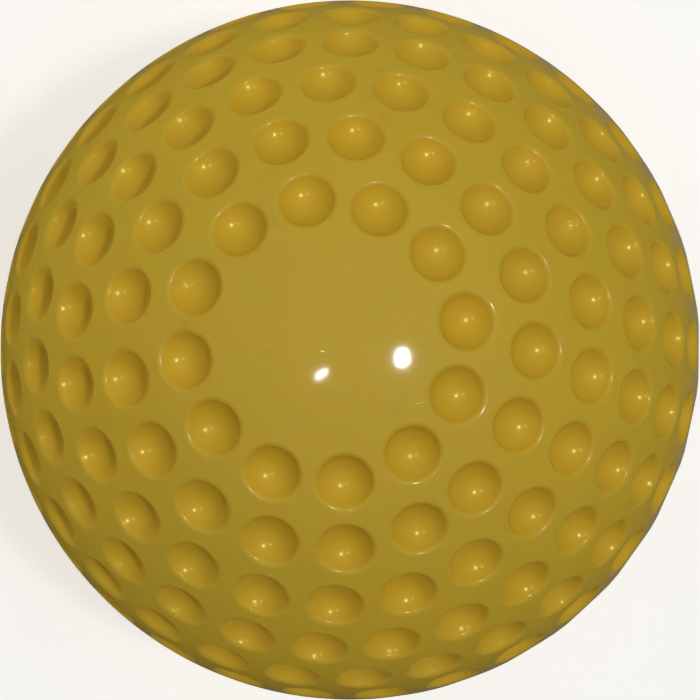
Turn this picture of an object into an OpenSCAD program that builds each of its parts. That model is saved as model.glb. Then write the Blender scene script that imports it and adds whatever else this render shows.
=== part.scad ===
// Dimpled practice ball: a cork-and-rubber core wound with yarn, inside a
// moulded cover of two half shells bonded together at the equator.
//
// The origin is the ball's centre. +Z is the mould axis, which passes through
// the middle of both smooth caps. The rings of dimples in the upper half start
// with a dimple on the +X meridian, and the first ring starts a little past it.

/* [Ball] */
// Outside diameter of the ball
ball_d = 73; // [71:0.1:75]
// Thickness of the moulded cover, from its inner face to its smooth land
cover_t = 5.5; // [5:0.1:7]
// Diameter of the cork-and-rubber core
core_d = 50; // [44:0.5:56]

/* [Dimples] */
// Number of dimples in each ring of one half, from the cap to the equator
ring_counts = [12, 17, 22, 26, 29, 30, 31]; // [10:1:32]
// Angle at the ball's centre from the mould axis to the first ring
first_ring_angle = 20.5; // [20:0.1:21]
// Angle from the +X meridian to the first dimple of the first ring
first_ring_turn = 1.5; // [0:0.1:3]
// Angle by which six dimples of the second ring sit further round than the rest
second_ring_slip = 2.2; // [0:0.1:2.5]
// Diameter of one dimple across its rim
dimple_d = 5.2; // [4.6:0.1:5.5]
// Depth of one dimple below the smooth land
dimple_depth = 1.9; // [1.4:0.1:2]

/* [Equator joint] */
// Width of the tongue that locates the two half shells
tongue_w = 1.6; // [1.2:0.1:2]
// Height of the tongue below the equator
tongue_h = 1.6; // [1.2:0.1:2]
// Thickness of the bond between the two half shells
bond_t = 0.3; // [0.2:0.05:0.5]

/* [Hidden] */

$fn = 96;
dimple_fn = 32;

ball_r = ball_d / 2;
cover_in_r = ball_r - cover_t;
core_r = core_d / 2;

// The six dimples of the second ring that sit further round
slip_first = 10;
slip_last = 15;

// The rings are evenly spaced, and the last one is half a step from the equator.
ring_step = (90 - first_ring_angle) / (len(ring_counts) - 0.5);

// A dimple is a spherical cut. Its rim lies on the ball, rim_h from the centre.
rim_r = dimple_d / 2;
rim_h = sqrt(pow(ball_r, 2) - pow(rim_r, 2));
floor_h = ball_r - dimple_depth;
cut_depth = rim_h - floor_h;
cut_r = (pow(rim_r, 2) + pow(cut_depth, 2)) / (2 * cut_depth);
cut_h = floor_h + cut_r;

// The lower half's rings are turned by half a dimple, so that the two rings
// beside the equator interleave.
lower_turn = 180 / ring_counts[len(ring_counts) - 1];

// The tongue runs round the middle of the cover's thickness.
tongue_r = cover_in_r + cover_t / 2;
zone_size = ball_d;

// Angle from the +X meridian to dimple i of a ring
function dimple_turn(ring, i) =
    360 * i / ring_counts[ring]
    + (ring == 0 ? first_ring_turn : 0)
    + (ring == 1 && i >= slip_first && i <= slip_last ? second_ring_slip : 0);

// All the dimple cuts of the upper half
module dimple_cuts() {
    for (ring = [0 : len(ring_counts) - 1]) {
        for (i = [0 : ring_counts[ring] - 1]) {
            rotate([0, 0, dimple_turn(ring, i)])
                rotate([0, first_ring_angle + ring * ring_step, 0])
                    translate([0, 0, cut_h])
                        sphere(r = cut_r, $fn = dimple_fn);
        }
    }
}

// Hollow ball between two radii
module ball_shell(outer_r, inner_r) {
    difference() {
        sphere(r = outer_r);
        sphere(r = inner_r);
    }
}

// Space above the joint: everything over face_z, and a tongue down to foot_z
module above_joint(face_z, foot_z, width) {
    rotate_extrude()
        polygon([
            [0, face_z],
            [tongue_r - width / 2, face_z],
            [tongue_r - width / 2, foot_z],
            [tongue_r + width / 2, foot_z],
            [tongue_r + width / 2, face_z],
            [zone_size, face_z],
            [zone_size, zone_size],
            [0, zone_size]
        ]);
}

// Space of the upper half shell, with its tongue
module upper_zone() {
    above_joint(bond_t / 2, -tongue_h, tongue_w);
}

// Space of the upper half shell and the bond together
module bonded_zone() {
    above_joint(-bond_t / 2, -tongue_h - bond_t, tongue_w + 2 * bond_t);
}

// Upper half of the cover, with the tongue
module cover_upper() {
    color([0.68, 0.58, 0.13])
        difference() {
            intersection() {
                ball_shell(ball_r, cover_in_r);
                upper_zone();
            }
            dimple_cuts();
        }
}

// Lower half of the cover, with the groove
module cover_lower() {
    color([0.64, 0.54, 0.12])
        difference() {
            ball_shell(ball_r, cover_in_r);
            bonded_zone();
            mirror([0, 0, 1])
                rotate([0, 0, lower_turn])
                    dimple_cuts();
        }
}

// Bond that fills the joint and ends flush with the cover
module seam_bond() {
    color([0.5, 0.4, 0.1])
        difference() {
            intersection() {
                ball_shell(ball_r, cover_in_r);
                bonded_zone();
            }
            upper_zone();
        }
}

// Layer of wound yarn between the core and the cover
module yarn_winding() {
    color([0.85, 0.82, 0.74])
        ball_shell(cover_in_r, core_r);
}

// Solid core of cork granules bonded in rubber
module core() {
    color([0.45, 0.3, 0.18])
        sphere(r = core_r);
}

cover_upper();
cover_lower();
seam_bond();
yarn_winding();
core();
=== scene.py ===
from math import acos, atan2, cos, floor, pi, radians, sin, sqrt

import bmesh
import bpy
import numpy as np
from mathutils import Matrix, Vector
from mathutils.geometry import delaunay_2d_cdt


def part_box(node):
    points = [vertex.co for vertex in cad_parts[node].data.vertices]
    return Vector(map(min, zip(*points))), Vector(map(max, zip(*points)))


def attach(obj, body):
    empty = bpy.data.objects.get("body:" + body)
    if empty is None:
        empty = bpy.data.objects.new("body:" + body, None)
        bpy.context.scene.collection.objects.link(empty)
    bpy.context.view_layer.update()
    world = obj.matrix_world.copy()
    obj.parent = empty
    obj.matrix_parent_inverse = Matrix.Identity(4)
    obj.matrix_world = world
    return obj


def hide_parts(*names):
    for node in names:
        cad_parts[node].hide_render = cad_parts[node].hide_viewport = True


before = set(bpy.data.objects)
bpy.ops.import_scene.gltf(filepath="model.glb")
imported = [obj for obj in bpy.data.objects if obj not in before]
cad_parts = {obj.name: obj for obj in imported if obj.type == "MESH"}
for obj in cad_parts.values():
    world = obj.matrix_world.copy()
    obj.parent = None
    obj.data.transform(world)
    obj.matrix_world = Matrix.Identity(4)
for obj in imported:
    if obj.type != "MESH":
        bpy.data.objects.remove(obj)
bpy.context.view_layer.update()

# Looks of the dimpled practice ball, in metres. The frame gives the outer radius
# of each layer and the heights of the joint's faces. The dimples' places and size
# and the tongue's width are the CAD model's own.

MM = 0.001

# --- sizes from the frame ---------------------------------------------------
BALL_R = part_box("cover_upper")[1][2]
COVER_IN_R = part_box("yarn_winding")[1][2]
CORE_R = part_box("core")[1][2]
BOND_HALF = -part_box("cover_lower")[1][2]
TONGUE_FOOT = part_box("cover_upper")[0][2]
GROOVE_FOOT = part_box("seam_bond")[0][2]
TONGUE_R = (BALL_R + COVER_IN_R) / 2
TONGUE_HALF_W = 0.8 * MM

# --- the rings of dimples, as in the CAD model ------------------------------
RING_COUNTS = (12, 17, 22, 26, 29, 30, 31)
FIRST_RING = radians(20.5)
RING_STEP = (pi / 2 - FIRST_RING) / (len(RING_COUNTS) - 0.5)
LOWER_TURN = pi / RING_COUNTS[-1]
FIRST_RING_TURN = radians(1.5)
SLIPPED = range(10, 16)         # dimples of the second ring that sit further round
SECOND_RING_SLIP = radians(2.2)

# --- one moulded dimple -----------------------------------------------------
RIM_R = 2.6 * MM         # radius of the dimple where its wall would meet the ball
DIMPLE_DEPTH = 1.9 * MM
RIM_FILLET = 0.6 * MM    # radius that rounds the rim
LIP_FILLET = 0.1 * MM    # radius that rounds the half shell's edge at the joint
ROUND_STEPS = 32         # points round a dimple
BOWL_STEPS = 8
FILLET_STEPS = 6

# --- the rest of a half shell -----------------------------------------------
LAND_POINTS = 9000       # points that a whole ball with no dimples would have
LAND_CLEARANCE = radians(0.9)   # gap between a dimple's edge and the nearest point
LIP_CLEARANCE = 0.012    # gap between the lip and the nearest point, in ball radii
EQUATOR_STEPS = 240
LIP_STEPS = 4
INSIDE_STEPS = 16

# --- the wound yarn ---------------------------------------------------------
YARN_W = 2.0 * MM        # width of one strand
YARN_LIFT = 0.5 * MM     # how far the last strand lies above the first
YARN_GAP = 0.03 * MM     # room between the winding and the cover
STRANDS = 150            # great circles of yarn on the outside of the winding
PLY_PITCH = 3.4 * MM     # length of one twist of the yarn
PLY_RELIEF = 0.07 * MM   # height of the ridges that the twist makes
OUTSIDE_DIVISIONS = 7    # times that the winding's outside is divided
INSIDE_DIVISIONS = 5

# --- steps that spread points evenly ----------------------------------------
GOLDEN_ANGLE = pi * (3 - sqrt(5))
SPREAD_A = 0.7548776662  # with SPREAD_B, spreads points over a square
SPREAD_B = 0.5698402910


# === mesh building ==========================================================
class Skin:
    """Vertices and faces, with a normal for each corner of each face."""

    def __init__(self):
        self.verts = []
        self.faces = []
        self.normals = []

    def vert(self, point):
        self.verts.append(point)
        return len(self.verts) - 1

    def face(self, corners, normals):
        self.faces.append(corners)
        self.normals.extend(normals)

    def to_object(self, name, place=None):
        """Make the object, moved by place, which may be a mirroring matrix."""
        points = np.array(self.verts)
        normals = np.array(self.normals)
        faces = self.faces
        if place is not None:
            points = points @ place.T
            normals = normals @ place.T
            if np.linalg.det(place) < 0:
                faces = [tuple(reversed(f)) for f in faces]
                ends = np.cumsum([len(f) for f in faces])
                starts = np.concatenate(([0], ends[:-1]))
                order = np.concatenate([np.arange(e - 1, s - 1, -1) for s, e in zip(starts, ends)])
                normals = normals[order]
        mesh = bpy.data.meshes.new(name)
        mesh.from_pydata(points.tolist(), [], faces)
        mesh.polygons.foreach_set("use_smooth", [True] * len(mesh.polygons))
        mesh.normals_split_custom_set([tuple(n) for n in normals])
        mesh.update()
        piece = bpy.data.objects.new(name, mesh)
        bpy.context.scene.collection.objects.link(piece)
        return piece


def direction(colatitude, longitude):
    """Unit vector from the ball's centre."""
    return np.array([
        sin(colatitude) * cos(longitude),
        sin(colatitude) * sin(longitude),
        cos(colatitude),
    ])


def dimple_profile():
    """The dimple's section from its centre to the ball: (radius, height) points
    and their normals, with the height measured from the ball's centre."""
    rim_h = sqrt(BALL_R**2 - RIM_R**2)
    floor_h = BALL_R - DIMPLE_DEPTH
    cut = rim_h - floor_h
    bowl_r = (RIM_R**2 + cut**2) / (2 * cut)
    bowl_h = floor_h + bowl_r
    # The fillet's centre is inside the ball's surface and outside the bowl's.
    reach = BALL_R - RIM_FILLET
    fillet_h = (reach**2 - (bowl_r + RIM_FILLET)**2 + bowl_h**2) / (2 * bowl_h)
    fillet_r = sqrt(reach**2 - fillet_h**2)
    bowl_end = atan2(fillet_r, bowl_h - fillet_h)
    points = []
    normals = []
    for i in range(1, BOWL_STEPS + 1):
        a = bowl_end * i / BOWL_STEPS
        points.append((bowl_r * sin(a), bowl_h - bowl_r * cos(a)))
        normals.append((-sin(a), cos(a)))
    start = atan2(bowl_h - fillet_h, -fillet_r)
    end = atan2(fillet_h, fillet_r)
    for i in range(1, FILLET_STEPS + 1):
        a = start + (end - start) * i / FILLET_STEPS
        points.append((fillet_r + RIM_FILLET * cos(a), fillet_h + RIM_FILLET * sin(a)))
        normals.append((cos(a), sin(a)))
    return points, normals


def dimple_places():
    """Colatitude and longitude of every dimple of one half."""
    for ring, count in enumerate(RING_COUNTS):
        for i in range(count):
            longitude = 2 * pi * i / count
            if ring == 0:
                longitude += FIRST_RING_TURN
            if ring == 1 and i in SLIPPED:
                longitude += SECOND_RING_SLIP
            yield FIRST_RING + ring * RING_STEP, longitude


def add_dimple(skin, colatitude, longitude, points, normals):
    """Add one dimple and return the vertices of its outer edge."""
    axis = direction(colatitude, longitude)
    south = direction(colatitude + pi / 2, longitude)
    east = np.cross(axis, south)
    centre = skin.vert(axis * (BALL_R - DIMPLE_DEPTH))
    turns = [2 * pi * i / ROUND_STEPS for i in range(ROUND_STEPS)]
    spokes = [south * cos(t) + east * sin(t) for t in turns]
    rows = []
    slopes = []
    for (r, h), (nr, nh) in zip(points, normals):
        rows.append([skin.vert(axis * h + spoke * r) for spoke in spokes])
        slopes.append([axis * nh + spoke * nr for spoke in spokes])
    for i in range(ROUND_STEPS):
        j = (i + 1) % ROUND_STEPS
        skin.face((centre, rows[0][i], rows[0][j]), (axis, slopes[0][i], slopes[0][j]))
        for k in range(len(rows) - 1):
            corners = (rows[k][i], rows[k + 1][i], rows[k + 1][j], rows[k][j])
            skin.face(corners, (slopes[k][i], slopes[k + 1][i], slopes[k + 1][j], slopes[k][j]))
    return rows[-1]


def land_directions(centres, clear, lowest_z):
    """Evenly spread directions on the land, clear of every dimple and the lip."""
    found = []
    for i in range(LAND_POINTS):
        z = 1 - 2 * (i + 0.5) / LAND_POINTS
        if z < lowest_z:
            break
        flat = sqrt(1 - z * z)
        point = np.array([flat * cos(GOLDEN_ANGLE * i), flat * sin(GOLDEN_ANGLE * i), z])
        if np.max(centres @ point) < cos(clear):
            found.append(point)
    return found


def add_land(skin, edges, equator, points):
    """Fill the land between the dimples' edges and the equator with triangles,
    laid out flat by stereographic projection from the far pole."""
    ids = [v for edge in edges for v in edge] + equator
    owners = [k for k, edge in enumerate(edges) for _ in edge] + [-1] * len(equator)
    for point in points:
        ids.append(skin.vert(point * BALL_R))
        owners.append(-1)
    units = np.array([skin.verts[v] for v in ids])
    units /= np.linalg.norm(units, axis=1)[:, None]
    flat = units[:, :2] / (1 + units[:, 2:])
    _, _, triangles, sources, _, _ = delaunay_2d_cdt(
        [Vector(p) for p in flat], [], [], 0, 1e-9, True)
    for triangle in triangles:
        corners = [sources[i][0] for i in triangle]
        owner = {owners[i] for i in corners}
        if len(owner) == 1 and owner != {-1}:
            continue
        skin.face(tuple(ids[i] for i in corners), [units[i] for i in corners])


def joint_profile(foot_z, half_w):
    """Section of one half shell from the lip's outer end to the inside pole:
    stretches of (radius, height) points, each with its normals. foot_z is under
    zero for a tongue and over zero for a groove."""
    lip_z = BOND_HALF + LIP_FILLET
    lip_r = sqrt((BALL_R - LIP_FILLET)**2 - lip_z**2)
    start = atan2(lip_z, lip_r)
    lip = []
    lip_normals = []
    for i in range(LIP_STEPS + 1):
        a = start + (-pi / 2 - start) * i / LIP_STEPS
        lip.append((lip_r + LIP_FILLET * cos(a), lip_z + LIP_FILLET * sin(a)))
        lip_normals.append((cos(a), sin(a)))
    outer = TONGUE_R + half_w
    inner = TONGUE_R - half_w
    side = 1 if foot_z < 0 else -1
    inside_r = sqrt(COVER_IN_R**2 - BOND_HALF**2)
    corners = [lip[-1], (outer, BOND_HALF), (outer, foot_z), (inner, foot_z),
               (inner, BOND_HALF), (inside_r, BOND_HALF)]
    slopes = [(0, -1), (side, 0), (0, -1), (-side, 0), (0, -1)]
    stretches = [(lip, lip_normals)]
    for a, b, slope in zip(corners, corners[1:], slopes):
        stretches.append(([a, b], [slope, slope]))
    bowl = []
    bowl_normals = []
    first = atan2(BOND_HALF, inside_r)
    for i in range(INSIDE_STEPS + 1):
        a = first + (pi / 2 - first) * i / INSIDE_STEPS
        bowl.append((COVER_IN_R * cos(a), COVER_IN_R * sin(a)))
        bowl_normals.append((-cos(a), -sin(a)))
    stretches.append((bowl, bowl_normals))
    return stretches


def add_revolved(skin, stretches, first_row):
    """Turn the section round the axis, starting from a row that exists."""
    turns = [2 * pi * i / EQUATOR_STEPS for i in range(EQUATOR_STEPS)]

    def spin(r, z):
        return [np.array([r * cos(t), r * sin(t), z]) for t in turns]

    row = first_row
    for points, normals in stretches:
        for (a, b, na, nb) in zip(points, points[1:], normals, normals[1:]):
            slope_a = spin(*na)
            slope_b = spin(*nb)
            if b[0] < 1e-9:
                pole = skin.vert(np.array([0, 0, b[1]]))
                for i in range(EQUATOR_STEPS):
                    j = (i + 1) % EQUATOR_STEPS
                    skin.face((row[i], pole, row[j]), (slope_a[i], slope_b[i], slope_a[j]))
                continue
            below = [skin.vert(p) for p in spin(*b)]
            for i in range(EQUATOR_STEPS):
                j = (i + 1) % EQUATOR_STEPS
                skin.face((row[i], below[i], below[j], row[j]),
                          (slope_a[i], slope_b[i], slope_b[j], slope_a[j]))
            row = below


def cover_half(name, foot_z, half_w, place=None):
    """One half shell of the cover as a closed mesh, built with its cap upward."""
    skin = Skin()
    points, normals = dimple_profile()
    spots = list(dimple_places())
    edges = [add_dimple(skin, *spot, points, normals) for spot in spots]
    centres = np.array([direction(*spot) for spot in spots])
    stretches = joint_profile(foot_z, half_w)
    lip_r, lip_z = stretches[0][0][0]
    equator = [
        skin.vert(np.array([lip_r * cos(t), lip_r * sin(t), lip_z]))
        for t in (2 * pi * i / EQUATOR_STEPS for i in range(EQUATOR_STEPS))
    ]
    clear = atan2(*points[-1]) + LAND_CLEARANCE
    land = land_directions(centres, clear, lip_z / BALL_R + LIP_CLEARANCE)
    add_land(skin, edges, equator, land)
    add_revolved(skin, stretches, equator)
    return skin.to_object(name, place)


# === materials ==============================================================
def add_node(tree, kind, operation, *values):
    """Add a maths node and return its output. A value may be another's output."""
    node = tree.nodes.new(kind)
    node.operation = operation
    for socket, value in zip(node.inputs, values):
        if isinstance(value, bpy.types.NodeSocket):
            tree.links.new(value, socket)
        else:
            socket.default_value = value
    return node.outputs["Value"]


class Nodes:
    """Short calls for building one material's node tree."""

    def __init__(self, name):
        self.material = bpy.data.materials.new(name)
        self.material.use_nodes = True
        self.tree = self.material.node_tree
        self.surface = self.tree.nodes["Principled BSDF"]

    def add(self, kind, inputs=None, **settings):
        node = self.tree.nodes.new(kind)
        for key, value in settings.items():
            setattr(node, key, value)
        for key, value in (inputs or {}).items():
            self.put(node.inputs[key], value)
        return node

    def put(self, socket, value):
        if isinstance(value, bpy.types.NodeSocket):
            self.tree.links.new(value, socket)
        else:
            socket.default_value = value

    def set(self, **values):
        for key, value in values.items():
            self.put(self.surface.inputs[key.replace("_", " ")], value)

    def place(self):
        """Position from the ball's centre, in metres."""
        return self.add("ShaderNodeTexCoord").outputs["Object"]

    def noise(self, place, scale, detail):
        node = self.add("ShaderNodeTexNoise", {"Vector": place, "Scale": scale, "Detail": detail})
        return node.outputs["Fac"]

    def map(self, value, low, high, to_low, to_high):
        inputs = {"Value": value, "From Min": low, "From Max": high,
                  "To Min": to_low, "To Max": to_high}
        return self.add("ShaderNodeMapRange", inputs).outputs["Result"]

    def math(self, operation, a, b):
        node = self.add("ShaderNodeMath", operation=operation)
        self.put(node.inputs[0], a)
        self.put(node.inputs[1], b)
        return node.outputs["Value"]

    def blend(self, value, first, second, low, high):
        """First colour below low, second above high, and a mix between."""
        node = self.add("ShaderNodeMix", data_type="RGBA")
        self.put(node.inputs["Factor"], self.map(value, low, high, 0, 1))
        self.put(node.inputs["A"], first)
        self.put(node.inputs["B"], second)
        return node.outputs["Result"]

    def bump(self, height, distance, normal=None):
        node = self.add("ShaderNodeBump", {"Height": height, "Distance": distance})
        if normal is not None:
            self.put(node.inputs["Normal"], normal)
        return node.outputs["Normal"]

    def inside(self, place, low, high, within, beyond):
        """Value within for radii under low, beyond for radii over high."""
        length = self.add("ShaderNodeVectorMath", {"Vector": place}, operation="LENGTH")
        share = self.map(length.outputs["Value"], low, high, 0, 1)
        mix = self.add("ShaderNodeMix", {"Factor": share})
        self.put(mix.inputs["A"], within)
        self.put(mix.inputs["B"], beyond)
        return mix.outputs["Result"]

    def nibs(self, place, scale, share, radius):
        """Small round bumps in a share of the cells, radius in cells."""
        cells = self.add("ShaderNodeTexVoronoi", {"Vector": place, "Scale": scale})
        shade = self.add("ShaderNodeSeparateColor", {"Color": cells.outputs["Color"]})
        chosen = self.math("LESS_THAN", shade.outputs["Red"], share)
        near = self.map(cells.outputs["Distance"], 0, radius, 1, 0)
        return self.math("MULTIPLY", chosen, near)

    def scratches(self, place, scale, stretch):
        """Hairlines along the thin edges of stretched cells, worn off in places."""
        turned = self.add("ShaderNodeMapping", {"Vector": place, "Rotation": (0.5, 0.3, 0.9),
                                                "Scale": (1, 1, 1 / stretch)})
        cells = self.add("ShaderNodeTexVoronoi", {"Vector": turned.outputs["Vector"],
                                                  "Scale": scale * 4},
                         feature="DISTANCE_TO_EDGE")
        line = self.map(cells.outputs["Distance"], 0, 0.012, 1, 0)
        left = self.map(self.noise(place, scale, 2), 0.56, 0.62, 0, 1)
        return self.math("MULTIPLY", line, left)


# Depths below the land: where a dimple's look begins, and where its roughness and its colour are
# complete. The dimples' colour is painted light: redder and a little brighter than the land's, for
# the warm light bounced inside them.
DIMPLE_EDGE = 0.015 * MM
ROUGH_DEPTH = 0.08 * MM
PAINTED_GLOW_DEPTH = 0.30 * MM


def cover_material():
    """Glossy moulded polyurethane: mottled, with orange peel, nibs and scratches.
    The dimples are rougher than the land and their gloss is yellow. Their colour is painted light,
    redder and a little brighter than the land's, for the warm light bounced inside them."""
    n = Nodes("cover_moulded")
    place = n.place()
    edge = BALL_R - DIMPLE_EDGE
    mottle = n.noise(place, 90, 3)
    grime = n.noise(place, 420, 4)
    colour = n.blend(mottle, (0.84, 0.580, 0.050, 1), (0.88, 0.590, 0.050, 1), 0.35, 0.65)
    colour = n.blend(grime, (0.81, 0.555, 0.050, 1), colour, 0.26, 0.40)
    # painted light: the dimples' redder, brighter colour stands in for the warm light bounced inside
    # them
    painted_pit_glow = n.blend(mottle, (0.86, 0.570, 0.045, 1), (0.90, 0.585, 0.045, 1), 0.35, 0.65)
    land = n.map(n.noise(place, 160, 5), 0.35, 0.7, 0.06, 0.11)
    pit = n.map(n.noise(place, 700, 3), 0.35, 0.7, 0.21, 0.26)
    in_dimple = n.inside(place, BALL_R - PAINTED_GLOW_DEPTH, edge, 1, 0)
    roughness = n.inside(place, BALL_R - ROUGH_DEPTH, edge, pit, land)
    # the dimples take the painted warm light colour, fading in from the rim downwards
    colour = n.blend(in_dimple, colour, painted_pit_glow, 0, 1)
    tint = n.blend(in_dimple, (1, 1, 1, 1), (1, 0.93, 0.25, 1), 0, 1)
    peel = n.bump(n.noise(place, 450, 2), 0.004 * MM)
    nibs = n.bump(n.nibs(place, 260, 0.18, 0.05), 0.05 * MM, peel)
    cut = n.bump(n.scratches(place, 60, 14), -0.015 * MM, nibs)
    n.set(Base_Color=colour, Roughness=roughness, IOR=1.45, Normal=cut, Specular_Tint=tint,
          Specular_IOR_Level=n.map(in_dimple, 0, 1, 0.45, 0.7),
          Subsurface_Weight=0.15, Subsurface_Scale=1 * MM, Subsurface_Radius=(1.0, 0.25, 0.05))
    return n.material


def bond_material():
    """Cured adhesive, darker than the cover and a little uneven."""
    n = Nodes("bond_cured")
    place = n.place()
    colour = n.blend(n.noise(place, 700, 3), (0.42, 0.27, 0.02, 1), (0.60, 0.40, 0.03, 1), 0.3, 0.7)
    roughness = n.map(n.noise(place, 900, 2), 0.3, 0.7, 0.25, 0.45)
    n.set(Base_Color=colour, Roughness=roughness, Normal=n.bump(n.noise(place, 1800, 2), 0.02 * MM))
    return n.material


def yarn_material():
    """Undyed wool yarn with loose fibres."""
    n = Nodes("yarn_wool")
    place = n.place()
    colour = n.blend(n.noise(place, 300, 4), (0.62, 0.54, 0.42, 1), (0.86, 0.81, 0.70, 1), 0.3, 0.7)
    fibres = n.noise(place, 5200, 6)
    n.set(Base_Color=colour, Roughness=n.map(fibres, 0.3, 0.7, 0.8, 1.0), Sheen_Weight=0.5,
          Normal=n.bump(fibres, 0.12 * MM))
    return n.material


CORK_GRAINS = 420.0      # cork granules in a metre


def cork_material():
    """Cork granules in dark rubber."""
    n = Nodes("cork_in_rubber")
    place = n.place()
    cells = {"Vector": place, "Scale": CORK_GRAINS}
    grains = n.add("ShaderNodeTexVoronoi", cells)
    edges = n.add("ShaderNodeTexVoronoi", cells, feature="DISTANCE_TO_EDGE")
    shade = n.add("ShaderNodeSeparateColor", {"Color": grains.outputs["Color"]})
    grain = n.blend(shade.outputs["Red"], (0.30, 0.15, 0.06, 1), (0.62, 0.40, 0.20, 1), 0, 1)
    colour = n.blend(edges.outputs["Distance"], (0.05, 0.035, 0.03, 1), grain, 0.04, 0.12)
    roughness = n.map(n.noise(place, 1500, 3), 0.3, 0.7, 0.65, 0.95)
    n.set(Base_Color=colour, Roughness=roughness, Normal=n.bump(edges.outputs["Distance"], 0.4 * MM))
    return n.material


# === pieces =================================================================
def build_cover():
    """Both half shells. The lower one is mirrored and turned."""
    upper = cover_half("cover_upper_moulded", TONGUE_FOOT, TONGUE_HALF_W)
    groove_half_w = TONGUE_HALF_W + 2 * BOND_HALF
    turn = np.array(Matrix.Rotation(LOWER_TURN, 3, "Z"))
    lower = cover_half("cover_lower_moulded", -GROOVE_FOOT, groove_half_w,
                       np.diag([1, 1, -1]) @ turn)
    material = cover_material()
    for piece, node in ((upper, "cover_upper"), (lower, "cover_lower")):
        piece.data.materials.append(material)
        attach(piece, "root")
        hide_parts(node)


def give_material(node, material):
    """Put a material on a CAD node that stays."""
    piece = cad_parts[node]
    for slot in piece.material_slots:
        slot.material = material


def fraction(value):
    return value - floor(value)


def yarn_heights(points):
    """Height of the wound yarn's surface at each unit vector, above its foot.
    Each strand is a great circle, and a later one lies over an earlier one."""
    heights = np.zeros(len(points))
    half_w = YARN_W / 2
    for i in range(STRANDS):
        axis = direction(acos(1 - 2 * fraction(i * SPREAD_A)), 2 * pi * fraction(i * SPREAD_B))
        side = np.cross(axis, (0.6, 0.0, 0.8))
        side /= np.linalg.norm(side)
        front = np.cross(side, axis)
        across = np.arcsin(np.clip(points @ axis, -1, 1)) * COVER_IN_R
        along = np.arctan2(points @ front, points @ side) * COVER_IN_R
        on_strand = np.abs(across) < half_w
        crown = np.sqrt(np.maximum(half_w**2 - across**2, 0))
        twist = PLY_RELIEF * np.cos(2 * pi * (along / PLY_PITCH + across / YARN_W))
        height = YARN_LIFT * i / STRANDS + crown + twist * crown / half_w
        heights = np.where(on_strand, np.maximum(heights, height), heights)
    return heights


def ball_surface(subdivisions):
    """Unit vectors and faces of an evenly divided ball of radius 1."""
    bm = bmesh.new()
    bmesh.ops.create_icosphere(bm, subdivisions=subdivisions, radius=1)
    points = np.array([v.co for v in bm.verts])
    points /= np.linalg.norm(points, axis=1)[:, None]
    faces = [tuple(v.index for v in f.verts) for f in bm.faces]
    bm.free()
    return points, faces


def build_yarn():
    """Wound yarn as one closed layer, from the core to its ridged outside."""
    outer, outer_faces = ball_surface(OUTSIDE_DIVISIONS)
    inner, inner_faces = ball_surface(INSIDE_DIVISIONS)
    heights = yarn_heights(outer)
    radii = COVER_IN_R - YARN_GAP - (np.max(heights) - heights)
    verts = np.concatenate([outer * radii[:, None], inner * (CORE_R + YARN_GAP)])
    start = len(outer)
    faces = outer_faces + [tuple(start + v for v in reversed(f)) for f in inner_faces]
    mesh = bpy.data.meshes.new("yarn_wound")
    mesh.from_pydata(verts.tolist(), [], faces)
    mesh.polygons.foreach_set("use_smooth", [True] * len(mesh.polygons))
    mesh.materials.append(yarn_material())
    mesh.update()
    piece = bpy.data.objects.new("yarn_wound", mesh)
    bpy.context.scene.collection.objects.link(piece)
    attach(piece, "root")
    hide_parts("yarn_winding")


build_cover()
build_yarn()
give_material("seam_bond", bond_material())
give_material("core", cork_material())


# === floor, light and camera ================================================
# Soft lights: degrees of tilt from the camera's axis, degrees of turn from the
# picture's right, strength, and sharpness as a power of the cosine. The first set
# lights the ball, and the second is what its gloss reflects.
SOFT_LIGHT = ((0, 0, 0.35, 20), (30, 0, 1.45, 20), (30, 60, 0.25, 20), (30, 300, 0.35, 20),
              (55, 90, 0.33, 12), (55, 180, 0.30, 12), (85, 135, 0.45, 4))
GLOSS_LIGHT = ((0, 0, 0.4, 2), (165, 20, 0.15, 8))

# Two lamps: direction in the camera's own axes, width, height, power and spin.
KEY_LAMP = ((0.265, -0.037, 0.964), 0.036, 0.046, 0.40, 0)
SECOND_LAMP = ((-0.146, -0.122, 0.982), 0.040, 0.013, 0.09, radians(38))
LAMP_DISTANCE = 0.5

FLOOR_HALF = 1.5                # half the floor's width
FLOOR_GLOW = 0.55               # the floor's glow as the camera sees it
FLOOR_FILL = (0.18, 0.75)       # its least and most glow on the ball
FLOOR_FILL_SPAN = (-0.3, 0.7)   # how far towards the bright side each one is reached
BRIGHT_SIDE = (-0.9, 0.44, 0)   # the floor's brightest side in the camera's own axes

CAMERA_DISTANCE = 6 * BALL_R
CAMERA_TILT = radians(3.91)
CAMERA_AZIMUTH = radians(3.63)
CAMERA_UP = radians(113.75)
BALL_SHARE = 0.999              # the ball's share of the picture's width


def make_camera():
    """Camera above the ball that the ball just fills. Returns its rotation."""
    back = Vector(direction(CAMERA_TILT, CAMERA_AZIMUTH))
    up = Vector((cos(CAMERA_UP), sin(CAMERA_UP), 0))
    up = (up - back * up.dot(back)).normalized()
    right = up.cross(back)
    turn = Matrix((right, up, back)).transposed()
    lens = bpy.data.cameras.new("camera")
    camera = bpy.data.objects.new("camera", lens)
    camera.matrix_world = Matrix.Translation(back * CAMERA_DISTANCE) @ turn.to_4x4()
    half_view = BALL_R / sqrt(CAMERA_DISTANCE**2 - BALL_R**2) / BALL_SHARE
    lens.lens = lens.sensor_width / 2 / half_view
    lens.clip_start = 0.01
    bpy.context.scene.collection.objects.link(camera)
    bpy.context.scene.camera = camera
    return turn


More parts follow.
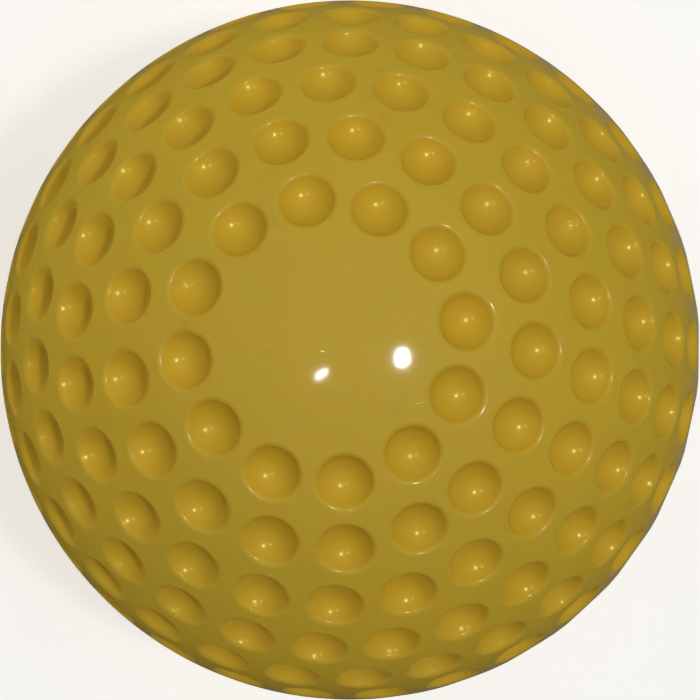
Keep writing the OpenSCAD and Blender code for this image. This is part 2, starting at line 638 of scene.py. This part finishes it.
def make_lamp(name, turn, towards, width, height, power, spin):
    """Soft lamp aimed at the ball. towards is in the camera's own axes."""
    lamp = bpy.data.lights.new(name, "AREA")
    lamp.shape = "ELLIPSE"
    lamp.size = width
    lamp.size_y = height
    lamp.energy = power
    away = turn @ Vector(towards).normalized()
    side = turn @ Vector((cos(spin), sin(spin), 0))
    side = (side - away * side.dot(away)).normalized()
    light = bpy.data.objects.new(name, lamp)
    facing = Matrix((side, away.cross(side), away)).transposed()
    light.matrix_world = Matrix.Translation(away * LAMP_DISTANCE) @ facing.to_4x4()
    bpy.context.scene.collection.objects.link(light)


def floor_material(turn):
    """Pale studio paper that glows evenly to the camera and from one side to the ball."""
    n = Nodes("floor_paper")
    place = n.place()
    paper = n.noise(place, 30, 4)
    colour = n.blend(paper, (0.80, 0.80, 0.79, 1), (0.86, 0.86, 0.85, 1), 0.3, 0.7)
    seen = n.add("ShaderNodeLightPath").outputs["Is Camera Ray"]
    around = n.add("ShaderNodeVectorMath", {"Vector": place}, operation="NORMALIZE")
    towards = turn @ Vector(BRIGHT_SIDE).normalized()
    side = add_node(n.tree, "ShaderNodeVectorMath", "DOT_PRODUCT", around.outputs["Vector"], towards)
    glow = n.map(seen, 0, 1, n.map(side, *FLOOR_FILL_SPAN, *FLOOR_FILL), FLOOR_GLOW)
    n.set(Base_Color=colour, Roughness=0.8, Emission_Color=(1, 1, 1, 1), Emission_Strength=glow)
    return n.material


def make_floor(turn):
    """Square of paper under the ball, out of sight in the ball's gloss."""
    half = FLOOR_HALF
    mesh = bpy.data.meshes.new("floor")
    corners = [(-half, -half), (half, -half), (half, half), (-half, half)]
    mesh.from_pydata([(x, y, -BALL_R) for x, y in corners], [], [(0, 1, 2, 3)])
    paper = bpy.data.objects.new("floor", mesh)
    mesh.materials.append(floor_material(turn))
    bpy.context.scene.collection.objects.link(paper)
    paper.visible_glossy = False


def add_lobes(tree, view, turn, lobes):
    """Sum of soft lobes of light, each (tilt, turn, strength, sharpness)."""
    total = 0.0
    for tilt, around, strength, sharpness in lobes:
        towards = turn @ Vector(direction(radians(tilt), radians(around)))
        facing = add_node(tree, "ShaderNodeVectorMath", "DOT_PRODUCT", view, towards)
        facing = add_node(tree, "ShaderNodeMath", "MAXIMUM", facing, 0.0)
        lobe = add_node(tree, "ShaderNodeMath", "POWER", facing, sharpness)
        total = add_node(tree, "ShaderNodeMath", "MULTIPLY_ADD", lobe, strength, total)
    return total


def make_world(turn):
    """Soft light with no edges. The gloss sees a plainer version of it."""
    world = bpy.data.worlds.new("studio")
    world.use_nodes = True
    tree = world.node_tree
    view = tree.nodes.new("ShaderNodeTexCoord").outputs["Generated"]
    soft = add_lobes(tree, view, turn, SOFT_LIGHT)
    gloss = add_lobes(tree, view, turn, GLOSS_LIGHT)
    is_gloss = tree.nodes.new("ShaderNodeLightPath").outputs["Is Glossy Ray"]
    change = add_node(tree, "ShaderNodeMath", "SUBTRACT", gloss, soft)
    strength = add_node(tree, "ShaderNodeMath", "MULTIPLY_ADD", change, is_gloss, soft)
    tree.links.new(strength, tree.nodes["Background"].inputs["Strength"])
    tree.nodes["Background"].inputs["Color"].default_value = (1, 1, 1, 1)
    bpy.context.scene.world = world


camera_turn = make_camera()
make_lamp("key", camera_turn, *KEY_LAMP)
make_lamp("second", camera_turn, *SECOND_LAMP)
make_floor(camera_turn)
make_world(camera_turn)
bpy.context.scene.view_settings.view_transform = "Standard"
